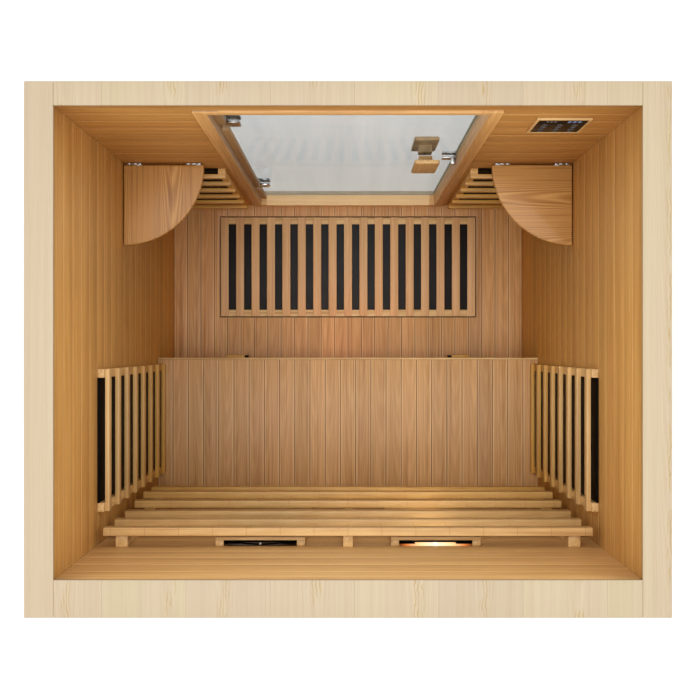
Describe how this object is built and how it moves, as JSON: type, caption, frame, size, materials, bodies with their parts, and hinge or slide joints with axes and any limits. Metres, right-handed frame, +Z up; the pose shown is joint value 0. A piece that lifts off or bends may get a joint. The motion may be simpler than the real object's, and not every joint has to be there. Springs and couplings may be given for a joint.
{
  "type": "infrared sauna cabin",
  "caption": "Wooden infrared sauna cabin with the roof off: glass door, bench with curved backrest, slatted heaters and folding corner shelves.",
  "frame": {"origin": "centre of the wall footprint, on the ground under the base frame", "axes": "+Z up, the door faces -Y, +X to the right of someone outside who faces the door"},
  "size_m": [1.2, 1.0151, 1.84],
  "materials": {
    "pale_wood": "planed, unvarnished",
    "lining_wood": "sanded, clear oil",
    "floor_wood": "sanded, clear oil",
    "bench_wood": "sanded, clear oil",
    "slat_wood": "sanded, clear oil",
    "shelf_wood": "sanded, clear oil",
    "chrome": "polished",
    "door_glass": "toughened, faintly hazed",
    "heater_black": "matt black",
    "reflector_metal": "dark, satin",
    "quartz": "clear quartz over a coil",
    "panel_black": "gloss touch face"
  },
  "bodies": {
    "cabin": {"back_wall_frame": "pale_wood", "back_wall_lining": "lining_wood", "back_wall_outer_boards": "pale_wood", "backrest": "slat_wood", "base_frame": "pale_wood", "bench_front": "lining_wood", "bench_nosing": "bench_wood", "bench_seat": "bench_wood", "calf_heater_element": "heater_black", "calf_heater_grille": "slat_wood", "catch_keeper": "chrome", "control_panel_face": "panel_black", "control_panel_frame": "slat_wood", "door_frame": "lining_wood", "floor_boards": "floor_wood", "floor_heater_element": "heater_black", "floor_heater_grille": "slat_wood", "front_wall_frame": "pale_wood", "front_wall_lining": "lining_wood", "front_wall_outer_boards": "pale_wood", "left_bench_cleat": "lining_wood", "left_emitter_grille": "slat_wood", "left_emitter_reflector": "reflector_metal", "left_emitter_tube": "quartz", "left_front_heater_element": "heater_black", "left_front_heater_grille": "slat_wood", "left_shelf_inner_hinge_wall_leaf": "chrome", "left_shelf_outer_hinge_wall_leaf": "chrome", "left_side_heater_element": "heater_black", "left_side_heater_grille": "slat_wood", "left_wall_frame": "pale_wood", "left_wall_lining": "lining_wood", "left_wall_outer_boards": "pale_wood", "lower_hinge_plate": "chrome", "right_bench_cleat": "lining_wood", "right_emitter_grille": "slat_wood", "right_emitter_reflector": "reflector_metal", "right_emitter_tube": "quartz", "right_front_heater_element": "heater_black", "right_front_heater_grille": "slat_wood", "right_shelf_inner_hinge_wall_leaf": "chrome", "right_shelf_outer_hinge_wall_leaf": "chrome", "right_side_heater_element": "heater_black", "right_side_heater_grille": "slat_wood", "right_wall_frame": "pale_wood", "right_wall_lining": "lining_wood", "right_wall_outer_boards": "pale_wood", "upper_hinge_plate": "chrome"},
    "door": {"door_glass": "door_glass", "upper_hinge_clamp": "chrome", "lower_hinge_clamp": "chrome", "inner_handle": "slat_wood", "outer_handle": "slat_wood", "catch_clip": "chrome"},
    "left_flap": {"left_shelf": "shelf_wood", "left_shelf_inner_hinge_shelf_leaf": "chrome", "left_shelf_outer_hinge_shelf_leaf": "chrome"},
    "right_flap": {"right_shelf": "shelf_wood", "right_shelf_inner_hinge_shelf_leaf": "chrome", "right_shelf_outer_hinge_shelf_leaf": "chrome"}
  },
  "joints": [
    {"name": "door_swing", "type": "hinge", "parent": "cabin", "child": "door", "pos_m": [0.265, -0.4938, 0.92], "axis": [0, 0, 1], "range_deg": [0, 100]},
    {"name": "left_shelf_fold", "type": "hinge", "parent": "cabin", "child": "left_flap", "pos_m": [-0.4465, -0.4491, 1.048], "axis": [1, 0, 0], "range_deg": [0, 90]},
    {"name": "right_shelf_fold", "type": "hinge", "parent": "cabin", "child": "right_flap", "pos_m": [0.4465, -0.4491, 1.048], "axis": [1, 0, 0], "range_deg": [0, 90]}
  ]
}
